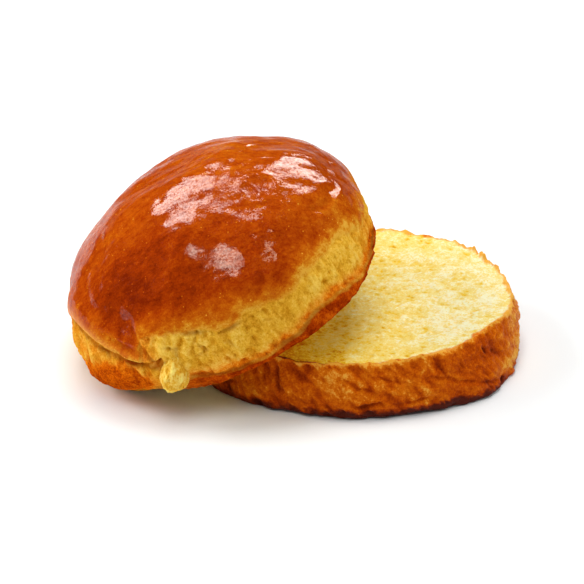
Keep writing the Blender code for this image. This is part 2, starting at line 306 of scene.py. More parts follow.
def closed_skin(name, angles, shares, surface):
    """A closed mesh of the surface: a ring of the angles at each share, with one point first and last."""
    angle = np.tile(angles, len(shares) - 2)
    share = np.repeat(shares[1:-1], len(angles))
    points, values = surface(np.append(angle, [0, 0]), np.append(share, [0, 1]))
    columns = np.arange(len(angles))
    rings = np.arange(len(shares) - 3)[:, None] * len(angles)
    after = np.roll(columns, -1)
    below = rings + len(angles)
    quads = np.stack([rings + columns, below + columns, below + after, rings + after], axis=2)
    top, bottom = len(angle), len(angle) + 1
    low = (len(shares) - 3) * len(angles)
    faces = quads.reshape(-1, 4).tolist()
    faces += [(top, a, b) for a, b in zip(columns.tolist(), after.tolist())]
    faces += [(bottom, low + b, low + a) for a, b in zip(columns.tolist(), after.tolist())]
    mesh = bpy.data.meshes.new(name)
    mesh.from_pydata(points.tolist(), [], faces)
    for key, value in values.items():
        kind, field = ("FLOAT", "value") if value.ndim == 1 else ("FLOAT_VECTOR", "vector")
        mesh.attributes.new(key, kind, "POINT").data.foreach_set(field, value.astype(np.float32).ravel())
    mesh.shade_smooth()
    piece = bpy.data.objects.new(name, mesh)
    bpy.context.scene.collection.objects.link(piece)
    return piece

def waves(points, length, seed, count=18):
    """Smooth noise of about unit size: a sum of plane waves about one length long, in seeded directions."""
    random = np.random.default_rng(seed)
    direction = random.normal(size=(count, 3))
    direction /= np.linalg.norm(direction, axis=1, keepdims=True)
    pitch = 2 * math.pi / length * random.uniform(0.6, 1.5, (count, 1))
    phase = random.uniform(0, 2 * math.pi, count)
    return np.sin(points @ (direction * pitch).T + phase).sum(axis=1) * math.sqrt(2 / count)

def heel_rim(angle):
    around = level_ring(angle)
    fine = 0.00060 * noise(around, 0.0045, 61, 3)
    return HEEL_RIM_RADIUS + 0.0014 * bell(angle, 75, 40) + 0.0006 * waves(around, 0.040, 31) + fine

def heel_top(points):
    """Height of the cut face before its pores: a slight wedge and dish, with the knife's unevenness."""
    across = points[:, 0] / HEEL_RIM_RADIUS
    outward = np.hypot(points[:, 0], points[:, 1]) / HEEL_RIM_RADIUS
    uneven = 0.0003 * waves(points, 0.030, 32)
    pressed = 0.0012 * smooth(-across, 0.55, 1.0)
    return HEEL_HEIGHT + HEEL_WEDGE * across - HEEL_DISH * (1 - smooth(outward, 0.2, 1.0)) + uneven - pressed

def heel_crust_relief(angle, height, belly, side):
    """Wrinkled skin of the side: broad lumps, leaning wrinkles of two sizes, pinched folds and a frill at the
    foot. Also how deep the wrinkles and folds are at each point, which paints shade into them and light onto
    their crests."""
    around = level_ring(angle)
    lumps = 0.00060 * noise(side * np.array([0.8, 0.8, 1]), 0.0090, 41, 2)
    leaning = ring_points(belly, 0.6 * height, angle + 11 * height)
    wrinkles = 0.00074 * (0.40 - 1.6 * np.abs(noise(leaning, 0.0056, 42, 2)))
    fine = 0.00034 * (0.40 - 1.6 * np.abs(noise(leaning, 0.0021, 43, 2)))
    pinch = np.zeros(len(side))
    for start, end, depth, width in HEEL_FOLDS:
        pinch += fold(angle, height, HEEL_BELLY_RADIUS, start, end, depth, width)
    frill = 0.0008 * (0.3 + noise(around, 0.0055, 44, 3)) * hump(height, 0.0012, 0.0015)
    return lumps + wrinkles + fine + pinch + frill, wrinkles + fine + 0.8 * pinch

def heel_surface(angle, share):
    """Points of the heel: share 0 is the middle of the cut face and 1 the middle of the base. Each ring has
    the radius of face, side or base at that share, pushed out by the relief. The pores sink the cut face."""
    face_end, side_end = HEEL_ENDS[:2]
    around = level_ring(angle)
    rim = heel_rim(angle)
    inner = np.clip(share / face_end, 0, 1)
    flat = ring_points(rim * inner, 0 * angle, angle)

    # The cut face has a proud edge of crust, which flakes on the far side.
    proud = 0.0009 * smooth(inner, 0.972, 0.992) * (0.35 + noise(around, 0.0042, 63, 3))
    flakes = 0.0024 * bell(angle, 34, 12) * np.clip(0.20 + noise(around, 0.0030, 66, 2), 0, 1)
    top = heel_top(flat) + proud + flakes * smooth(inner, 0.955, 0.985)

    # The side swells from the rim to its belly and tucks in to the foot, which flares in two places.
    fall = np.clip((share - face_end) / (side_end - face_end), 0, 1)
    rise = np.clip(fall / (1 - HEEL_BELLY_SHARE), 0, 1)
    drop = np.clip((fall - 1 + HEEL_BELLY_SHARE) / HEEL_BELLY_SHARE, 0, 1)
    base = HEEL_BASE_RADIUS + 0.0022 * bell(angle, 332, 24)
    belly = np.where(
        drop > 0,
        base + (HEEL_BELLY_RADIUS - base) * np.sqrt(1 - drop**2),
        rim + (HEEL_BELLY_RADIUS - rim) * np.sin(math.pi / 2 * rise),
    )
    height = top * (1 - fall)
    side = ring_points(belly, height, angle)
    relief, deep = heel_crust_relief(angle, height, belly, side)
    relief *= smooth(fall, 0, 0.06) * (1 - 0.6 * smooth(fall, 0.96, 1.0))
    relief += (0.0036 * bell(angle, 221, 17) + 0.0026 * bell(angle, 317, 13)) * smooth(fall, 0.30, 0.92)
    under = np.clip((share - side_end) / (1 - side_end), 0, 1)
    radius = np.where(share < face_end, rim * inner, (belly + relief) * (1 - under))
    lift = 0.0009 * np.clip(noise(around, 0.0130, 45, 2) + 0.10, 0, 1) * (1 - smooth(height, 0, 0.005))
    height = np.where(under > 0, 0, height) + lift * (1 - smooth(under, 0, 0.25)) * (fall > 0)

    # The crumb ends raggedly at the crust, and its pores lie in clusters.
    edge = 0.987 - 0.024 * np.clip(0.3 + noise(around, 0.0058, 65, 3), 0, 1.2)
    crumb = 1 - smooth(inner, edge - 0.007, edge + 0.002)
    clustered = smooth(noise(flat, 0.0110, 77, 3), -0.20, 0.40)
    open_pores = clustered * pits(flat * np.array([0.75, 1.0, 1.0]), 0.0040, 71)
    open_pores += (0.30 + 0.70 * clustered) * pits(flat * np.array([0.8, 1.0, 1.0]), 0.0024, 72)
    uneven = noise(flat, 0.0018, 73, 2) + 1.8 * noise(flat, 0.0060, 74, 2)
    sunk = HEEL_PORE_DEPTH * open_pores - 0.00020 * uneven
    height = np.where(share < face_end, height - crumb * sunk, height)
    points = ring_points(radius, height, angle) + HEEL_CENTRE

    # What follows only colours the heel. Painted shade makes the crumb deeper yellow where the crown lies
    # over it.
    matrix = np.array(Matrix.LocRotScale(CROWN_CENTRE, CROWN_TURN, None))
    seen = (points - matrix[:3, 3]) @ matrix[:3, :3]
    beyond = np.clip(np.hypot(seen[:, 0], seen[:, 1]) - CROWN_RIM_RADIUS, 0, None)
    crown_shadow = hump(beyond, 0, 0.0130) * hump(seen[:, 2], 0, 0.0150)
    deeper = 0.26 * smooth(-flat[:, 0], -0.034, 0.0) + 0.15 * smooth(flat[:, 1], 0.0, 0.04) - 0.12
    crumb_hollow = open_pores - 0.15 * uneven + 2.4 * crown_shadow + deeper
    burnt = 0.45 + 0.55 * bell(angle, 288, 38)
    unburnt = smooth(height + 0.0013 * noise(side, 0.0045, 62, 3), 0.0016, 0.0046)
    # Golden tone round the side, and painted shadow where the crown shades the side near 244 degrees.
    gold_and_shadow = 0.72 * bell(angle, 350, 16) + 0.35 * bell(angle, 8, 12) + 0.7 * bell(angle, 60, 40)
    gold_and_shadow -= 0.8 * bell(angle, 315, 11) + 0.5 * bell(angle, 244, 9)
    pale = bell(angle, 334, 13) * (1 - smooth(height + 0.0020 * noise(side, 0.006, 64, 2), 0.005, 0.011))
    pale += 0.8 * bell(angle, 262, 8) * smooth(height, 0.006, 0.012)
    # Painted shade darkens the crust's folds and the crumb's pores, and painted light lightens the wrinkles'
    # crests.
    values = {
        "crumb": crumb,
        "hollow_shade": np.where(share < face_end, crumb_hollow, smooth(-deep, -0.00010, 0.0010)),
        "ridge": smooth(deep, 0.00012, 0.00046) * (share > face_end),
        "scorch": burnt * (1 - unburnt),
        "gold_and_shadow": gold_and_shadow,
        "rind": np.clip(1 - fall / 0.075, 0, 1) * (share >= face_end) + (1 - crumb) * (share < face_end),
        "pale": pale,
    }
    return points, values

def attribute(tree, name):
    return add(tree, "ShaderNodeAttribute", {}, attribute_name=name).outputs["Fac"]

def maths(tree, operation, *values):
    return add(tree, "ShaderNodeMath", dict(enumerate(values)), operation=operation).outputs[0]

def mixed(tree, share, low, high):
    """The low colour where the share is 0 and the high one where it is 1."""
    return add(tree, "ShaderNodeMix", {0: share, 6: low, 7: high}, data_type="RGBA").outputs[2]

def ramp(tree, share, *stops):
    """Colours along the share: each stop is its place from 0 to 1 and its colour."""
    made = add(tree, "ShaderNodeValToRGB", {"Fac": share})
    line = made.color_ramp.elements
    while len(line) < len(stops):
        line.new(1)
    for element, (place, tint) in zip(line, stops):
        element.position = place
        element.color = tint
    return made.outputs["Color"]

def grain(tree, place, size, detail=2.0, rough=0.5):
    """Noise from 0 to 1 whose spots are about the size across, in metres."""
    sockets = {"Vector": place, "Scale": 1 / size, "Detail": detail, "Roughness": rough}
    return add(tree, "ShaderNodeTexNoise", sockets).outputs["Fac"]

def spread(tree, value, low, high):
    """The value stretched so that low becomes 0 and high 1."""
    sockets = {"Value": value, "From Min": low, "From Max": high}
    return add(tree, "ShaderNodeMapRange", sockets).outputs["Result"]

def varied(tree, place, *layers):
    """The sum of layers of noise round 0: each is the size of its spots and its strength."""
    total = 0.0
    for size, strength in layers:
        centred = maths(tree, "SUBTRACT", grain(tree, place, size, 3.0, 0.6), 0.5)
        total = maths(tree, "ADD", maths(tree, "MULTIPLY", centred, strength), total)
    return total

def weighed(tree, *terms):
    """The sum of each output times its weight."""
    total = 0.0
    for value, weight in terms:
        total = maths(tree, "ADD", maths(tree, "MULTIPLY", value, weight), total)
    return total

def bubbles(tree, place, size, small, large):
    """Round pores in irregular cells: 1 in the middle of a pore and 0 outside it."""
    cells = add(tree, "ShaderNodeTexVoronoi", {"Vector": place, "Scale": 1 / size}).outputs["Distance"]
    return maths(tree, "SUBTRACT", 1.0, spread(tree, cells, small, large))

def cut_crumb(tree, place, hollow_shade):
    """Colour and grain of a cut face: pale, with pores that lie in clusters, painted deeper yellow as shade.
    """
    fine = grain(tree, place, 0.0006, 4.0, 0.7)
    pores = bubbles(tree, place, 0.0030, 0.10, 0.42)
    clustered = spread(tree, grain(tree, place, 0.0085, 3.0), 0.44, 0.58)
    deep = weighed(tree, (hollow_shade, 1.00), (maths(tree, "MULTIPLY", pores, clustered), 0.95), (clustered, 0.25))
    patches = varied(tree, place, (0.0100, 0.9), (0.0036, 1.2), (0.0015, 1.8), (0.0007, 2.6))
    deep = maths(tree, "ADD", deep, patches)
    shades = ramp(tree, spread(tree, deep, -0.46, 2.2), *zip(CRUMB_STOPS, CRUMB_SHADES))
    return shades, maths(tree, "SUBTRACT", fine, maths(tree, "MULTIPLY", pores, 0.8))

def bumped(tree, shader, socket, height, distance, strength):
    """Fine relief in the light alone: the height times the distance in metres tilts the named normal."""
    bump = add(tree, "ShaderNodeBump", {"Height": height, "Distance": distance, "Strength": strength})
    tree.links.new(bump.outputs["Normal"], shader.inputs[socket])

def let_light_in(shader, weight, depth):
    """Light that sinks into the bread: red to the full depth, green to half of it and blue to a fifth."""
    shader.inputs["Subsurface Weight"].default_value = weight
    shader.inputs["Subsurface Radius"].default_value = (depth, 0.5 * depth, 0.2 * depth)
    shader.inputs["Subsurface Scale"].default_value = 1.0

def heel_material():
    """Crust of a tone that sums the marks of the surface, from golden to scorched, with painted shade in its
    folds and pores and painted light on its crests, and crumb on the cut.
    """
    material, tree, shader = new_material("heel_crust_and_crumb", Roughness=0.5)
    place = add(tree, "ShaderNodeTexCoord", {}).outputs["Object"]
    crumb, hollow_shade, ridge, scorch, pale, gold_and_shadow, rind = (
        attribute(tree, key) for key in ("crumb", "hollow_shade", "ridge", "scorch", "pale", "gold_and_shadow", "rind")
    )
    mottled = varied(tree, place, (0.0090, 0.36), (0.0030, 0.40), (0.0012, 0.34), (0.0006, 0.36))
    # Painted shade in folds and pores and where the crown shades the side darkens the tone; painted light on
    # the crests lightens it.
    darker = ((hollow_shade, 0.34), (scorch, 0.84), (mottled, 1.0))
    lighter = ((ridge, -0.20), (pale, -0.26), (gold_and_shadow, -0.22), (rind, -0.30))
    tone = maths(tree, "ADD", weighed(tree, *darker, *lighter), HEEL_BAKE)
    crust = ramp(
        tree,
        tone,
        (0.08, colour(238, 170, 60)),
        (0.26, colour(220, 114, 11)),
        (0.44, colour(198, 84, 4)),
        (0.64, colour(164, 58, 3)),
        (0.84, colour(118, 38, 5)),
        (1.00, colour(84, 22, 4)),
    )
    inside, open_grain = cut_crumb(tree, place, hollow_shade)
    tree.links.new(mixed(tree, crumb, crust, inside), shader.inputs["Base Color"])
    rough = maths(tree, "ADD", maths(tree, "MULTIPLY", crumb, 0.4), 0.45)
    tree.links.new(rough, shader.inputs["Roughness"])
    shine = maths(tree, "MAXIMUM", scorch, maths(tree, "MULTIPLY", maths(tree, "ADD", ridge, 0.3), gold_and_shadow))
    crusted = maths(tree, "MULTIPLY", maths(tree, "SUBTRACT", 1.0, crumb), HEEL_SHINE)
    tree.links.new(maths(tree, "MULTIPLY", shine, crusted), shader.inputs["Coat Weight"])
    shader.inputs["Coat Roughness"].default_value = 0.22
    crusty = varied(tree, place, (0.0090, 0.80), (0.0030, 0.67), (0.0010, 0.40), (0.0005, 0.45))
    height = mixed(tree, crumb, crusty, maths(tree, "MULTIPLY", open_grain, 0.6))
    bumped(tree, shader, "Normal", height, 0.0007, 0.9)
    shader.inputs["Specular IOR Level"].default_value = 0.02
    let_light_in(shader, 0.12, 0.004)
    return material

heel = closed_skin(
    "heel_bread",
    np.linspace(0, 2 * math.pi, HEEL_SEGMENTS, endpoint=False),
    ring_shares(HEEL_RINGS, HEEL_ENDS),
    heel_surface,
)
heel.data.materials.append(heel_material())
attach(heel, "root")
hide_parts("heel")

# The crown: the domed top, soft crumb under a brown egg-washed skin that ends in a lip on the left. The pale
# band below is where the bun tore away from its neighbours, and under it the knife left a strip of crust. It
# is a closed skin of rings from the top of the dome to the middle of the cut face, tilted as it leans.

CROWN_HEIGHT = 0.0516
CROWN_WAIST_RADIUS = 0.0553
CROWN_WAIST_HEIGHT = 0.0140
CROWN_ROUNDNESS = 1.91
CROWN_SHOULDER_HEIGHT = 0.0310
CROWN_SEGMENTS = 520
CROWN_RINGS = (62, 92, 34)
CROWN_ENDS = (0.36, 0.86, 1.0)
CROWN_SHARPNESS = 0.40
CROWN_PORE_DEPTH = 0.0009
CROWN_BAKE = 0.135
CROWN_SHINE = 0.6
# Where the brown skin ends above the torn band, and where the crease below the band lies: (degrees, height).
SKIN_EDGE = (
    (0, 0.0130), (12, 0.0142), (25, 0.0160), (60, 0.0185), (95, 0.0215), (130, 0.0195), (160, 0.0230),
    (185, 0.0285), (200, 0.0300), (209, 0.0298), (218, 0.0283), (224, 0.0269), (231, 0.0244), (238, 0.0210),
    (241.5, 0.0198), (244.5, 0.0250), (249, 0.0250), (255, 0.0240), (264, 0.0228), (270, 0.0205),
    (276, 0.0188), (284, 0.0198), (292, 0.0188), (300, 0.0174), (309, 0.0184), (321, 0.0190), (329, 0.0178),
    (336, 0.0145), (343, 0.0118), (350, 0.0120),
)
CREASE = (
    (0, 0.0025), (30, 0.0040), (70, 0.0028), (110, 0.0045), (150, 0.0030), (190, 0.0040), (225, 0.0030),
    (255, 0.0070), (261, 0.0050), (266, 0.0030), (275, 0.0021), (281, 0.0016), (289, 0.0028), (295, 0.0030),
    (299, 0.0040), (303, 0.0056), (308, 0.0055), (314, 0.0051), (320, 0.0034), (328, 0.0018), (340, 0.0014),
)
CROWN_MARKS = (
    "torn", "bake", "shade", "blush", "strip", "crease", "hollow_shade", "cut", "bulge", "pale_edge_and_sheen", "puckered", "dull",
)
# Each fold of the flank: the (degrees, height) of its start and end, its depth and its width.
CROWN_FOLDS = (
    ((209, 0.0262), (214, 0.0150), 0.0010, 0.0011),
    ((222, 0.0245), (227, 0.0180), 0.0009, 0.0009),
    ((232, 0.0185), (239, 0.0105), 0.0009, 0.0012),
    ((247, 0.0150), (250, 0.0065), 0.0012, 0.0012),
    ((222, 0.0300), (243, 0.0212), 0.0006, 0.0006),
    ((212, 0.0312), (236, 0.0240), 0.0004, 0.0005),
    ((230, 0.0262), (247, 0.0204), 0.0005, 0.0005),
    ((241, 0.0310), (244, 0.0215), 0.0005, 0.0007),
    ((244, 0.0225), (249, 0.0160), 0.0013, 0.0009),
    ((250, 0.0215), (258, 0.0180), 0.0007, 0.0007),
    ((258, 0.0236), (270, 0.0200), 0.0012, 0.0010),
    ((271, 0.0180), (283, 0.0184), 0.0012, 0.0009),
    ((263, 0.0190), (266, 0.0130), 0.0009, 0.0008),
    ((273, 0.0160), (275, 0.0100), 0.0008, 0.0008),
    ((256, 0.0200), (254, 0.0140), 0.0010, 0.0009),
    ((258, 0.0135), (266, 0.0145), 0.0007, 0.0007),
    ((286, 0.0160), (292, 0.0120), 0.0006, 0.0008),
    ((96, 0.0210), (150, 0.0160), 0.0016, 0.0018),
    ((180, 0.0150), (200, 0.0120), 0.0010, 0.0012),
    ((331, 0.0278), (345, 0.0265), 0.0007, 0.0014),
    ((341, 0.0285), (350, 0.0264), 0.0005, 0.0014),
    ((327, 0.0305), (333, 0.0278), 0.0006, 0.0012),
)

def uneven_angles(count, closest, share):
    """Angles round the axis that lie closer together by the share round one direction, in degrees."""
    fine = np.linspace(0, 2 * math.pi, 4001)
    total = fine + share * (np.sin(fine - math.radians(closest)) + math.sin(math.radians(closest)))
    return np.interp(np.linspace(0, 2 * math.pi, count, endpoint=False), total, fine)

def round_line(angle, stops):
    """The height at each angle of a closed line through the (degrees, height) stops, eased between them."""
    degrees, heights = np.array(stops).T
    turn = np.degrees(angle) % 360
    place = np.interp(turn, np.append(degrees, 360), np.arange(len(degrees) + 1.0))
    before = np.floor(place).astype(int) % len(degrees)
    share = smooth(place % 1, 0, 1)
    return heights[before] * (1 - share) + heights[(before + 1) % len(degrees)] * share

def lip_strength(angle):
    turned = np.degrees(angle) % 360
    return smooth(turned, 160, 190) * (1 - smooth(turned, 246, 252))

def lip_height(angle):
    """Height of the overhanging lip, which falls from the left flank to the nub."""
    return 0.0310 - 0.0121 * smooth(np.degrees(angle) % 360, 205, 250)

def near(points, degrees, radius, height, reach):
    """A round bell about a place on the crown: its angle, its distance from the axis and its height."""
    turn = math.radians(degrees)
    centre = np.array([radius * math.cos(turn), radius * math.sin(turn), height])
    return np.exp(-((points - centre) ** 2).sum(axis=1) / reach**2)

def dome_relief(points):
    """Unevenness of the skin: shallow dents, long wrinkles along the crown and one puckered ring."""
    radius = np.hypot(points[:, 0], points[:, 1])
    blister = near(points, 279.4, 0.0409, 0.0377, 0.0110)
    dents = 0.00030 * noise(points, 0.0085, 92, 2) * (1 - 0.85 * blister) + 0.00030 * blister
    dents += 0.00022 * near(points, 294.4, 0.0395, 0.0384, 0.0030)
    dents += 0.00020 * near(points, 264.4, 0.0396, 0.0392, 0.0030)
    dents += 0.00030 * near(points, 309.4, 0.0464, 0.0334, 0.0040)
    wrinkles = 0.00017 * noise(points * np.array([0.36, 1, 1]), 0.0058, 91, 2) * (1 - 0.7 * blister)
    ring = np.linalg.norm(points - np.array([0.0297, -0.0185, 0.0417]), axis=1)
    pucker = 0.00045 * hump(ring, 0.0062, 0.0018) - 0.00055 * hump(ring, 0, 0.0042)
    pucker += 0.00026 * noise(points, 0.0024, 97, 2) * hump(ring, 0, 0.0085)
    creases = 0.00004 * noise(points * np.array([0.6, 1, 1]), 0.0023, 98, 2)
    return (dents + wrinkles + pucker + creases) * smooth(radius, 0, 0.002)

def crown_relief(angle, height, points):
    """How far the skin lies outside its plain profile, how far it sags, and the parts that also colour it."""
    around = level_ring(angle)
    lip = lip_strength(angle)
    edge = round_line(angle, SKIN_EDGE) + (1 - lip) * (0.0010 * noise(around, 0.005, 81, 3))
    edge += 0.0002 * noise(around, 0.002, 84)
    crease = round_line(angle, CREASE) + 0.0004 * noise(around, 0.004, 82, 2)
    soft = 0.0011 * (1 - 0.7 * lip)
    torn = (1 - smooth(height, edge - soft, edge + soft)) * smooth(height, crease + 0.0002, crease + 0.0012)
    bulge = bell(angle, 222, 17) * hump(height, 0.0112, 0.0060)
    rough = torn * (1 - 0.75 * smooth(bulge, 0.15, 0.8))
    relief = 0.00045 * waves(points, 0.030, 11) * smooth(height, 0.004, 0.020)

    # The lip stands proud over a groove, with a bulge of crust below it and a hollow beside the bulge.
    under = height - lip_height(angle)
    ledge = 0.0007 * hump(under, 0.0020, 0.0030) + 0.0010 * hump(under, 0.0008, 0.0012)
    groove = 0.0026 * smooth(-under, -0.0003, 0.0009) * np.exp(-np.clip(-under, 0, None) / 0.0036)
    relief += lip * (ledge - groove)
    relief += 0.0016 * bell(angle, 222, 17) * hump(height, 0.0105, 0.0052)
    relief += 0.0014 * bell(angle, 203, 13) * hump(under, 0.001, 0.0035)
    relief += 0.0013 * near(points, 243.5, 0.0550, 0.0135, 0.0032)
    relief -= 0.0012 * bell(angle, 205, 13) * hump(height, 0.0185, 0.0060)
    sag = lip * 0.0023 * hump(under, 0.0006, 0.0015)

    # Pinched folds, two low ridges on the right and the dome's own unevenness.
    pinch = np.zeros(len(points))
    for start, end, depth, width in CROWN_FOLDS:
        pinch += fold(angle, height, CROWN_WAIST_RADIUS, start, end, depth, width)
    ridge = fold(angle, height, CROWN_WAIST_RADIUS, (324, 0.0268), (336, 0.0252), 0.0003, 0.0011)
    ridge += fold(angle, height, CROWN_WAIST_RADIUS, (335, 0.0252), (353, 0.0238), 0.0003, 0.0011)
    relief += pinch - ridge
    skin = smooth(height, edge, edge + 0.006)
    relief += skin * dome_relief(points)

    # The torn band: upright fibres and lumps, opened by tears and pits of two sizes.
    fibres = noise(points * np.array([1, 1, 0.33]), 0.0016, 93, 3)
    lumps = noise(points * np.array([1, 1, 0.7]), 0.0058, 94, 2)
    tears = np.clip(1 - 2.6 * np.abs(noise(points * np.array([1, 1, 0.6]), 0.0046, 95, 2)), 0, 1)
    holes = pits(points * np.array([1, 1, 0.8]), 0.0036, 99)
    fine_holes = pits(points * np.array([1, 1, 0.7]), 0.0021, 100)
    ragged = 1 + 0.8 * bell(angle, 265, 16)
    opened = 0.00034 * tears + 0.00045 * holes + 0.00040 * fine_holes
    band = rough * (0.00034 * fibres + 0.00040 * lumps - ragged * opened)
    folded = lip * torn * (0.00060 * noise(points * np.array([1, 1, 0.9]), 0.0042, 85, 3))
    relief += band + folded - 0.0004 * rough

    # The crease under the band, and the strip of crust below it.
    shown = 1 - 0.85 * bell(angle, 222, 23) - 0.6 * bell(angle, 320, 22)
    broken = np.clip(0.75 + 0.9 * noise(around, 0.0075, 102, 2), 0.15, 1)
    cut = broken * hump(height, crease, 0.00065)
    beaded = 0.0002 * hump(height, crease - 0.0014, 0.0009)
    relief += shown * (beaded - 0.0003 * cut)
    strip = (1 - smooth(height, crease - 0.0007, crease + 0.0002)) * (1 - bell(angle, 222, 20))
    relief += strip * (0.00022 * noise(points, 0.0017, 96, 3) + 0.00045 * noise(points, 0.0044, 86, 2))

    # What follows only colours the crown: toasted edges, darker and lighter baking, with painted shade low on
    # the dome's front and painted light on its top, seams and painted shade in folds and under the lip, a
    # painted highlight along the lip's edge, and shine.
    toasted = hump(height, crease + 0.0010, 0.0026) * (0.85 + 0.5 * noise(points, 0.006, 87, 2))
    pale_left = 0.50 + 0.40 * noise(points, 0.0045, 88, 2)
    pale_left -= 0.6 * near(points, 243.5, 0.0550, 0.0140, 0.0040)
    toasted_most = 0.6 * bell(angle, 347, 9) + 0.6 * near(points, 268, 0.053, 0.0058, 0.0045)
    blush = lip * (pale_left + 0.75 * smooth(bulge, 0.02, 0.55)) + (1 - lip) * (1.2 * toasted + toasted_most)
    rise = 0.0085 + 0.0030 * bell(angle, 274, 14) - 0.0035 * bell(angle, 205, 20)
    # The dome's own darker and lighter baking, which also holds painted shade on its lower front and painted
    # light on its top.
    dark = 0.95 * near(points, 238, 0.043, 0.034, 0.019) + 0.40 * near(points, 280, 0.045, 0.032, 0.016)
    dark += 0.25 * near(points, 310, 0.045, 0.036, 0.012) + 0.35 * near(points, 292, 0.052, 0.026, 0.007)
    dark += 0.35 * near(points, 254, 0.032, 0.043, 0.012) - 0.60 * near(points, 338, 0.053, 0.022, 0.010)
    dark -= 0.75 * near(points, 338, 0.0515, 0.0262, 0.0045) + 0.45 * near(points, 322, 0.045, 0.033, 0.012)
    dark -= 0.48 * near(points, 215, 0.022, 0.049, 0.016) + 0.56 * near(points, 20, 0.024, 0.047, 0.022)
    dark -= 0.55 * near(points, 275, 0.050, 0.028, 0.0045) + 0.35 * near(points, 242, 0.049, 0.029, 0.004)
    # A painted highlight along the lip's rolled edge.
    dark -= 0.9 * lip * hump(under, 0.0003, 0.0007)
    folds_left = np.clip(-pinch / 0.00016, 0, 1) * bell(angle, 229, 17) * skin
    # Painted shade along the crease, in the groove under the lip and in pinched folds.
    seam = shown * broken * hump(height, crease + 0.0003, 0.0008)
    under_lip_shade = 0.9 * lip * (0.8 + 0.6 * noise(around, 0.008, 101)) * hump(under, -0.0038, 0.0011)
    # Painted shade in the torn band where it sinks, at a base depth that varies round the crown.
    band_shade_base = 0.28 - 0.16 * bell(angle, 262, 15) + 0.10 * bell(angle, 287, 13) - 0.06 * bell(angle, 325, 12)
    puckered = near(points, 328, 0.0350, 0.0417, 0.0125) + 0.15 * near(points, 262, 0.047, 0.033, 0.012)
    puckered -= 0.22 * near(points, 284, 0.044, 0.035, 0.012)
    colours = {
        "torn": torn,
        "bake": smooth(height + 0.0022 * noise(points, 0.0050, 89, 3), edge - 0.0006, edge + rise),
        "shade": np.clip(dark, -1, 1),
        "bulge": smooth(bulge, 0.15, 0.75),
        "blush": np.clip(blush, 0, 1),
        "strip": strip,
        "crease": np.clip(seam + under_lip_shade + np.clip(-pinch / 0.0018 - 0.15, 0, 0.7), 0, 1),
        "hollow_shade": np.clip(band_shade_base - band / 0.0016, 0, 1),
        # The lip's slightly paler edge, mostly a painted highlight.
        "pale_edge_and_sheen": 0.9 * lip * bell(angle, 198, 27) * hump(under, 0.0009, 0.0007),
        "puckered": np.clip(puckered, -0.3, 1),
        "dull": np.clip(near(points, 295, 0.0490, 0.0308, 0.0042) + 0.9 * folds_left, 0, 1),
    }
    return relief, sag, colours

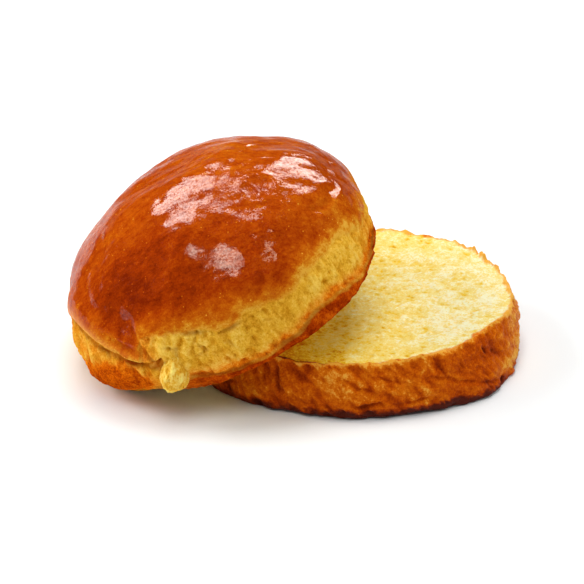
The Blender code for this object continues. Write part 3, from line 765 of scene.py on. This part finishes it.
def crown_surface(angle, share):
    """Points of the crown: share 0 is the top of the dome and 1 the middle of the cut face. The dome is a
    superellipse of revolution down to the waist, with a quarter sine from there to the rim of the face."""
    around = level_ring(angle)
    flat = 0.0011 * bell(angle, 4, 26) - 0.0006 * bell(angle, 190, 23)
    waist = CROWN_WAIST_RADIUS - flat + 0.0004 * waves(around, 0.050, 3)
    out = 0.0036 * bell(angle, 320, 21) - 0.0006 * bell(angle, 274, 14)
    rim = CROWN_RIM_RADIUS + out + 0.00035 * waves(around, 0.030, 4) + 0.0004 * noise(around, 0.005, 83, 2)
    tuck = 0.0050 * bell(angle, 236, 21) + 0.0016 * bell(angle, 120, 34)
    rise = CROWN_HEIGHT - CROWN_WAIST_HEIGHT
    exponent = 2 / CROWN_ROUNDNESS
    shoulder = math.asin(((CROWN_SHOULDER_HEIGHT - CROWN_WAIST_HEIGHT) / rise) ** (1 / exponent))
    shoulder_end, rim_end = CROWN_ENDS[:2]

    # The profile: the dome down to the waist, and the sine below it, drawn in at the left front and back.
    upper = math.pi / 2 - (math.pi / 2 - shoulder) * np.clip(share / shoulder_end, 0, 1)
    fall = np.clip((share - shoulder_end) / (rim_end - shoulder_end), 0, 1)
    height = np.where(
        share < shoulder_end,
        CROWN_WAIST_HEIGHT + rise * np.sin(upper) ** exponent,
        CROWN_SHOULDER_HEIGHT * (1 - fall),
    )
    dome = np.clip((height - CROWN_WAIST_HEIGHT) / rise, 0, 1)
    above = waist * np.clip(1 - dome**CROWN_ROUNDNESS, 0, 1) ** (1 / CROWN_ROUNDNESS)
    above = np.where(share < shoulder_end, waist * np.clip(np.cos(upper), 0, 1) ** exponent, above)
    low = np.clip(height / CROWN_WAIST_HEIGHT, 0, 1)
    below = rim + (waist - rim) * np.sin(math.pi / 2 * low) - tuck * (1 - smooth(height, 0, 0.0085)) ** 1.5
    radius = np.where(height > CROWN_WAIST_HEIGHT, above, below)
    points = ring_points(radius, height, angle)

    # The relief pushes the skin out along the slope of that profile.
    steepness = CROWN_ROUNDNESS - 1
    slope = np.arctan2(dome**steepness * waist, rise * (radius / waist) ** steepness)
    relief, sag, values = crown_relief(angle, height, points)
    radius = radius + relief * np.cos(slope) * smooth(radius, 0, 0.006)
    height = height + relief * np.sin(slope) - sag

    # The cut face closes the crown below. The table flattens what would sink into it.
    inward = np.clip((share - rim_end) / (1 - rim_end), 0, 1)
    face = ring_points((radius - 0.0006) * (1 - inward), 0 * height, angle)
    crumb = 0.0003 * waves(face, 0.016, 21) + 0.0004 * smooth(inward, 0, 0.4)
    open_pores = pits(face, 0.0046, 74) + 0.6 * pits(face, 0.0026, 75)
    crumb += CROWN_PORE_DEPTH * open_pores * smooth(inward, 0, 0.03)
    height = np.where(inward > 0, crumb, height)
    radius = np.where(inward > 0, (radius - 0.0006) * (1 - inward), radius)
    points = ring_points(radius, height, angle)
    # Painted shade in the cut face's pores.
    values["hollow_shade"] = np.where(inward > 0, open_pores, values["hollow_shade"])
    values["cut"] = smooth(inward, 0, 0.02)
    values["place"] = points
    matrix = np.array(Matrix.LocRotScale(CROWN_CENTRE, CROWN_TURN, None))
    world = points @ matrix[:3, :3].T + matrix[:3, 3]
    world[:, 2] = np.maximum(world[:, 2], 0)
    return world, values

def torn_crumb(tree, place, hollow_shade, palest=colour(250, 206, 90)):
    """Pale torn crumb: upright fibres and fine pores, painted deeper yellow and then brown as shade in the
    hollows.
    """
    stretched = add(tree, "ShaderNodeMapping", {"Vector": place, "Scale": (1, 1, 0.45)}).outputs["Vector"]
    fibres = grain(tree, stretched, 0.0006, 4.0, 0.7)
    pores = bubbles(tree, place, 0.0012, 0.08, 0.30)
    deep = weighed(tree, (hollow_shade, 1.00), (spread(tree, fibres, 0.30, 0.80), 0.55), (pores, 0.30))
    deep = maths(tree, "ADD", deep, varied(tree, place, (0.0050, 0.5), (0.0018, 0.7), (0.0006, 1.0)))
    shades = ramp(
        tree,
        spread(tree, deep, 0.10, 1.85),
        (0.0, palest),
        (0.30, colour(234, 174, 48)),
        (0.62, colour(202, 130, 17)),
        (1.0, colour(138, 70, 4)),
    )
    return shades, maths(tree, "SUBTRACT", fibres, maths(tree, "MULTIPLY", pores, 0.5))

def crown_material():
    """Brown skin of a tone that sums its marks, with painted glints. The torn band, strip, crease with its
    painted shade, the lip's paler edge with its painted highlight and the cut face lie over it in that order,
    and a coat of egg wash shines on the skin."""
    material, tree, shader = new_material("crown_crust_and_crumb", Roughness=0.4)
    place = add(tree, "ShaderNodeAttribute", {}, attribute_name="place").outputs["Vector"]
    torn, bake, shade, blush, strip, crease, hollow_shade, cut, bulge, pale_edge_and_sheen, puckered, dull = (
        attribute(tree, key) for key in CROWN_MARKS
    )
    streaked = add(tree, "ShaderNodeMapping", {"Vector": place, "Scale": (0.4, 1, 1)}).outputs["Vector"]
    mottled = varied(tree, place, (0.0140, 0.36), (0.0036, 0.40), (0.0006, 0.45))
    mottled = maths(tree, "ADD", mottled, varied(tree, streaked, (0.0014, 0.50)))
    # Sparse light flecks: painted glints.
    glint_flecks = bubbles(tree, place, 0.0026, 0.04, 0.12)
    dots = bubbles(tree, place, 0.0013, 0.04, 0.20)
    tone = weighed(tree, (bake, 0.46), (shade, 0.24), (dots, 0.20), (glint_flecks, -0.45), (mottled, 1.0))
    tone = maths(tree, "ADD", tone, CROWN_BAKE)
    skin = ramp(
        tree,
        tone,
        (0.05, colour(224, 166, 58)),
        (0.18, colour(212, 136, 30)),
        (0.32, colour(198, 100, 13)),
        (0.48, colour(182, 76, 7)),
        (0.68, colour(156, 52, 4)),
        (0.92, colour(118, 31, 3)),
    )
    crumb, fibres = torn_crumb(tree, place, hollow_shade)
    toasty = varied(tree, place, (0.0060, 0.7), (0.0018, 0.4), (0.0006, 0.8))
    baked = weighed(tree, (bulge, 0.26), (hollow_shade, 0.30), (blush, 0.10), (toasty, 1.0))
    baked = maths(tree, "ADD", baked, 0.29)
    blushed = ramp(
        tree,
        baked,
        (0.20, colour(246, 176, 66)),
        (0.42, colour(234, 132, 20)),
        (0.60, colour(216, 98, 7)),
        (0.85, colour(158, 52, 4)),
    )
    crumb = mixed(tree, blush, crumb, blushed)
    band = mixed(tree, torn, skin, crumb)
    crusted = varied(tree, place, (0.0046, 1.0), (0.0016, 0.8), (0.0006, 0.8))
    rind = ramp(
        tree,
        maths(tree, "ADD", crusted, 0.55),
        (0.22, colour(208, 98, 10)),
        (0.48, colour(178, 62, 3)),
        (0.78, colour(122, 28, 1)),
    )
    band = mixed(tree, strip, band, rind)
    # Painted shade in the crease, under the lip and in pinched folds, then the lip's paler edge with its
    # painted highlight.
    band = mixed(tree, maths(tree, "MULTIPLY", crease, 0.88), band, colour(136, 38, 1))
    band = mixed(tree, maths(tree, "MULTIPLY", pale_edge_and_sheen, 0.75), band, colour(232, 158, 96))
    tree.links.new(mixed(tree, cut, band, cut_crumb(tree, place, hollow_shade)[0]), shader.inputs["Base Color"])
    matt = maths(tree, "MAXIMUM", torn, cut)
    tree.links.new(maths(tree, "ADD", maths(tree, "MULTIPLY", matt, 0.45), 0.40), shader.inputs["Roughness"])
    specks = spread(tree, grain(tree, place, 0.0008, 3.0, 0.65), 0.30, 0.58)
    specks = maths(tree, "MULTIPLY", specks, maths(tree, "SUBTRACT", 1.0, maths(tree, "MULTIPLY", dots, 0.8)))
    glossy = maths(tree, "MULTIPLY", spread(tree, bake, 0.25, 0.95), specks)
    glossy = maths(tree, "MULTIPLY", glossy, spread(tree, shade, -1.0, -0.6))
    for matt_part in (strip, dull):
        glossy = maths(tree, "MULTIPLY", glossy, maths(tree, "SUBTRACT", 1.0, matt_part))
    glossy = maths(tree, "MULTIPLY", glossy, CROWN_SHINE)
    tree.links.new(glossy, shader.inputs["Coat Weight"])
    shader.inputs["Coat Roughness"].default_value = 0.07
    shader.inputs["Specular IOR Level"].default_value = 0.0
    grit = mixed(tree, matt, varied(tree, place, (0.0036, -0.36), (0.0014, -0.42), (0.0006, -0.60)), fibres)
    bumped(tree, shader, "Normal", grit, 0.0005, 0.8)
    wrinkled = weighed(tree, (puckered, 1.8), (1.0, 0.52))
    crinkle = maths(tree, "MULTIPLY", varied(tree, streaked, (0.0014, 1.0)), wrinkled)
    crinkle = maths(tree, "ADD", crinkle, varied(tree, place, (0.0005, 0.13)))
    bumped(tree, shader, "Coat Normal", crinkle, 0.0001, 1.0)
    let_light_in(shader, 0.10, 0.003)
    return material

crown = closed_skin(
    "crown_bread",
    uneven_angles(CROWN_SEGMENTS, 275, CROWN_SHARPNESS),
    ring_shares(CROWN_RINGS, CROWN_ENDS),
    crown_surface,
)
crown.data.materials.append(crown_material())
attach(crown, "root")
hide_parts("crown")

# The nub: a tag of torn crumb that hangs at the left end of the torn band, pale and soft, pulled into upright
# strands. It is a lumpy egg, pushed into the flank.

# Where the nub hangs on the crown: degrees, distance from the axis and height.
NUB_CENTRE = (251.3, 0.0546, 0.0120)
NUB_HALVES = (0.0045, 0.0034, 0.0062)
NUB_LEAN = 0.30
NUB_SEGMENTS = 96
NUB_RINGS = 72

def nub_surface(angle, share):
    """A drop that hangs upright, share 0 at its top: an egg of three soft sides, with lumps and strands."""
    tilt = math.pi * share
    plain = np.sin(tilt) * (1 - 0.28 * np.cos(tilt)) * (1 + 0.07 * np.sin(3 * angle + 1))
    rounded = np.stack([plain * np.cos(angle), plain * np.sin(angle), np.cos(tilt)], axis=1)
    local = rounded * np.array(NUB_HALVES)
    strands = noise(local * np.array([1, 1, 0.28]), 0.0011, 121, 2)
    lumps = noise(local, 0.0030, 122, 2)
    relief = 0.00026 * strands + 0.00045 * lumps
    turn = math.radians(NUB_CENTRE[0])
    centre = Vector((NUB_CENTRE[1] * math.cos(turn), NUB_CENTRE[1] * math.sin(turn), NUB_CENTRE[2]))
    turned = Matrix.LocRotScale(CROWN_CENTRE, CROWN_TURN, None)
    outward = np.array(turned.to_3x3() @ Vector((math.cos(turn), math.sin(turn), 0)))
    points = local + rounded * relief[:, None] + np.array(turned @ centre) - NUB_LEAN * local[:, 2:] * outward
    # Painted shade where the nub's relief sinks.
    hollow_shade = np.clip(0.32 - relief / 0.0013, 0, 1)
    return points, {"hollow_shade": hollow_shade, "tip": smooth(share, 0.80, 1.0), "place": local}

def nub_material():
    """Torn crumb, paler than the band's and toasted towards the tip."""
    material, tree, shader = new_material("nub_crumb", Roughness=0.85)
    place = add(tree, "ShaderNodeAttribute", {}, attribute_name="place").outputs["Vector"]
    crumb, fibres = torn_crumb(tree, place, attribute(tree, "hollow_shade"), colour(252, 226, 120))
    tinted = mixed(tree, maths(tree, "MULTIPLY", attribute(tree, "tip"), 0.7), crumb, colour(224, 134, 24))
    tree.links.new(tinted, shader.inputs["Base Color"])
    bumped(tree, shader, "Normal", fibres, 0.0005, 0.8)
    shader.inputs["Specular IOR Level"].default_value = 0.06
    let_light_in(shader, 0.15, 0.003)
    return material

nub = closed_skin(
    "crown_nub",
    np.linspace(0, 2 * math.pi, NUB_SEGMENTS, endpoint=False),
    np.linspace(0, 1, NUB_RINGS),
    nub_surface,
)
nub.data.materials.append(nub_material())
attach(nub, "root")
